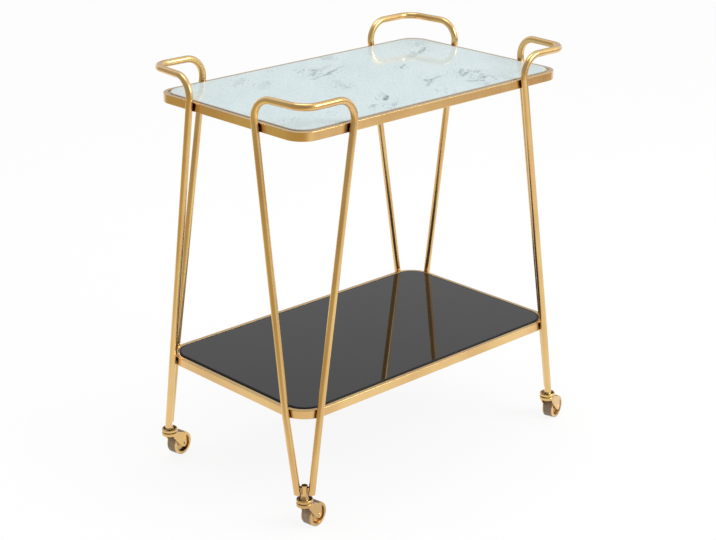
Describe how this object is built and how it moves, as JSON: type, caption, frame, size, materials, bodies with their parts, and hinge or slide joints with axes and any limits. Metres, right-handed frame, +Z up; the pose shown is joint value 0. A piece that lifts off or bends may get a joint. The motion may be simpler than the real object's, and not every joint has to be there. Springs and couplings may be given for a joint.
{
  "type": "bar cart",
  "caption": "Two-tier bar cart with bent-tube corner legs that turn into handles, ring-framed marble-look and black glass shelves, on swivel casters.",
  "frame": {"origin": "on the floor under the middle of the cart's overall length and width, casters as they stand in the picture", "axes": "+X along the long sides, +Y across the cart from the front to the rear, +Z up"},
  "size_m": [0.7006, 0.4144, 0.7553],
  "materials": {
    "gold_tube": "satin gold-coloured plating on steel tube",
    "caster_brass": "polished brass",
    "marble_glass": "gloss glass printed with a pale grey-veined marble look",
    "black_glass": "gloss black glass",
    "clear_pad": "clear soft plastic",
    "steel_screw": "zinc-plated",
    "grey_tread": "smooth grey-brown rubber"
  },
  "bodies": {
    "cart": {"upper_tray_frame": "gold_tube", "upper_glass_shelf": "marble_glass", "upper_glass_tabs": "gold_tube", "upper_glass_pads": "clear_pad", "upper_frame_screws": "steel_screw", "lower_tray_frame": "gold_tube", "lower_glass_shelf": "black_glass", "lower_glass_tabs": "gold_tube", "lower_glass_pads": "clear_pad", "lower_frame_screws": "steel_screw", "leg_front_left": "gold_tube", "caster_socket_front_left": "gold_tube", "caster_stem_front_left": "caster_brass", "caster_cup_front_left": "caster_brass", "leg_front_right": "gold_tube", "caster_socket_front_right": "gold_tube", "caster_stem_front_right": "caster_brass", "caster_cup_front_right": "caster_brass", "leg_rear_left": "gold_tube", "caster_socket_rear_left": "gold_tube", "caster_stem_rear_left": "caster_brass", "caster_cup_rear_left": "caster_brass", "leg_rear_right": "gold_tube", "caster_socket_rear_right": "gold_tube", "caster_stem_rear_right": "caster_brass", "caster_cup_rear_right": "caster_brass"},
    "swivel_front_left": {"caster_fork_front_left": "caster_brass", "caster_axle_front_left": "caster_brass"},
    "wheel_front_left": {"caster_wheel_front_left": "caster_brass", "caster_tyre_front_left": "grey_tread"},
    "swivel_front_right": {"caster_fork_front_right": "caster_brass", "caster_axle_front_right": "caster_brass"},
    "wheel_front_right": {"caster_wheel_front_right": "caster_brass", "caster_tyre_front_right": "grey_tread"},
    "swivel_rear_left": {"caster_fork_rear_left": "caster_brass", "caster_axle_rear_left": "caster_brass"},
    "wheel_rear_left": {"caster_wheel_rear_left": "caster_brass", "caster_tyre_rear_left": "grey_tread"},
    "swivel_rear_right": {"caster_fork_rear_right": "caster_brass", "caster_axle_rear_right": "caster_brass"},
    "wheel_rear_right": {"caster_wheel_rear_right": "caster_brass", "caster_tyre_rear_right": "grey_tread"}
  },
  "joints": [
    {"name": "swivel_front_left", "type": "hinge", "parent": "cart", "child": "swivel_front_left", "pos_m": [-0.33158, -0.19, 0.0537], "axis": [0, 0, 1], "continuous": true},
    {"name": "roll_front_left", "type": "hinge", "parent": "swivel_front_left", "child": "wheel_front_left", "pos_m": [-0.30787, -0.18625, 0.022], "axis": [-0.1564, 0.9877, 0], "continuous": true},
    {"name": "swivel_front_right", "type": "hinge", "parent": "cart", "child": "swivel_front_right", "pos_m": [0.30442, -0.19, 0.0537], "axis": [0, 0, 1], "continuous": true},
    {"name": "roll_front_right", "type": "hinge", "parent": "swivel_front_right", "child": "wheel_front_right", "pos_m": [0.32771, -0.18419, 0.022], "axis": [-0.2419, 0.9703, 0], "continuous": true},
    {"name": "swivel_rear_left", "type": "hinge", "parent": "cart", "child": "swivel_rear_left", "pos_m": [-0.33158, 0.19, 0.0537], "axis": [0, 0, 1], "continuous": true},
    {"name": "roll_rear_left", "type": "hinge", "parent": "swivel_rear_left", "child": "wheel_rear_left", "pos_m": [-0.30794, 0.19417, 0.022], "axis": [-0.1736, 0.9848, 0], "continuous": true},
    {"name": "swivel_rear_right", "type": "hinge", "parent": "cart", "child": "swivel_rear_right", "pos_m": [0.30442, 0.19, 0.0537], "axis": [0, 0, 1], "continuous": true},
    {"name": "roll_rear_right", "type": "hinge", "parent": "swivel_rear_right", "child": "wheel_rear_right", "pos_m": [0.32798, 0.19458, 0.022], "axis": [-0.1908, 0.9816, 0], "continuous": true}
  ]
}
